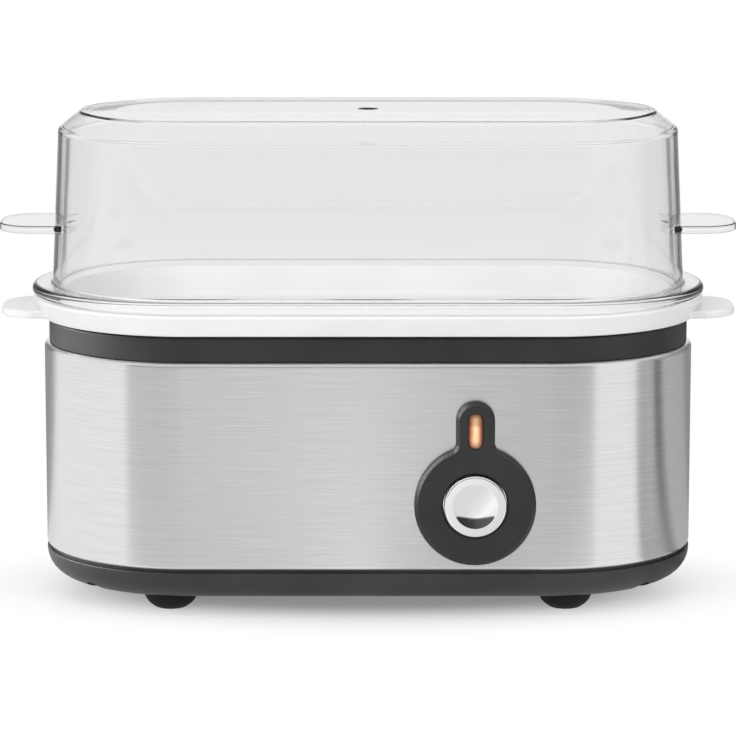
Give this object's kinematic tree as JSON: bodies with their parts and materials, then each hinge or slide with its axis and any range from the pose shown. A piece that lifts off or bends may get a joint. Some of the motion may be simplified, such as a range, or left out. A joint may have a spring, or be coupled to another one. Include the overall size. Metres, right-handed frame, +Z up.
{
  "type": "electric egg cooker",
  "caption": "Electric egg cooker: oval steel-banded base with a heated pan, lift-out egg tray, clear lift-off lid, push button and indicator lamp.",
  "frame": {"origin": "on the worktop under the middle of the body", "axes": "+X to the right along the body, -Y towards the user on the control side, +Z up"},
  "size_m": [0.2126, 0.0924, 0.1403],
  "materials": {
    "clear_plastic": "clear, polished",
    "white_plastic": "smooth satin",
    "grey_plastic": "fine moulded grain",
    "brushed_steel": "brushed along the body",
    "foot_rubber": "matt",
    "bezel_plastic": "semi-gloss",
    "button_chrome": "polished",
    "lamp_lens": "clear amber",
    "lamp_glass": "glowing neon",
    "pan_metal": "satin",
    "silicone": "matt",
    "aluminium": "cast",
    "sheath_metal": "oxidised",
    "ceramic": "matt",
    "brass": "stamped",
    "plated_steel": "zinc plated",
    "phenolic": "matt",
    "holder_plastic": "matt",
    "spring_steel": "drawn wire",
    "gland_plastic": "matt",
    "brown_wire": "satin",
    "white_wire": "satin",
    "blue_wire": "satin",
    "green_wire": "satin",
    "red_wire": "satin"
  },
  "bodies": {
    "housing": {"top_collar": "grey_plastic", "steel_band": "brushed_steel", "base_shell": "grey_plastic", "foot_front_left": "foot_rubber", "foot_front_right": "foot_rubber", "foot_rear_left": "foot_rubber", "foot_rear_right": "foot_rubber", "base_screws": "plated_steel", "heating_pan": "pan_metal", "pan_seal": "silicone", "heat_spreader": "aluminium", "heating_element": "sheath_metal", "terminal_insulators": "ceramic", "terminal_pins": "brass", "pan_studs": "plated_steel", "clamp_bridge_left": "plated_steel", "clamp_bridge_right": "plated_steel", "clamp_nuts": "plated_steel", "thermostat": "phenolic", "thermostat_tabs": "brass", "thermostat_screws": "plated_steel", "thermal_fuse": "plated_steel", "fuse_clip": "plated_steel", "fuse_screw": "plated_steel", "control_bezel": "bezel_plastic", "indicator_lens": "lamp_lens", "neon_lamp": "lamp_glass", "lamp_electrodes": "brass", "switch_carrier": "holder_plastic", "switch_body": "phenolic", "switch_tabs": "brass", "switch_screws": "plated_steel", "button_spring": "spring_steel", "cord_gland": "gland_plastic", "gland_nut": "gland_plastic", "terminal_block": "holder_plastic", "block_screw": "plated_steel", "live_lead": "brown_wire", "switched_lead": "brown_wire", "fuse_lead": "white_wire", "element_lead": "white_wire", "neutral_lead": "blue_wire", "earth_lead": "green_wire", "lamp_leads": "red_wire"},
    "tray": {"egg_tray": "white_plastic"},
    "cover": {"lid": "clear_plastic"},
    "button": {"button_cap": "button_chrome", "button_stem": "holder_plastic"}
  },
  "joints": [
    {"name": "tray_lift", "type": "slide", "parent": "housing", "child": "tray", "axis": [0, 0, 1], "range_m": [0, 0.06]},
    {"name": "lid_lift", "type": "slide", "parent": "tray", "child": "cover", "axis": [0, 0, 1], "range_m": [0, 0.08]},
    {"name": "button_press", "type": "slide", "parent": "housing", "child": "button", "axis": [0, 1, 0], "range_m": [0, 0.003], "stiffness_N_per_m": 350, "springref_m": -0.002, "deforming": ["button_spring"]}
  ]
}
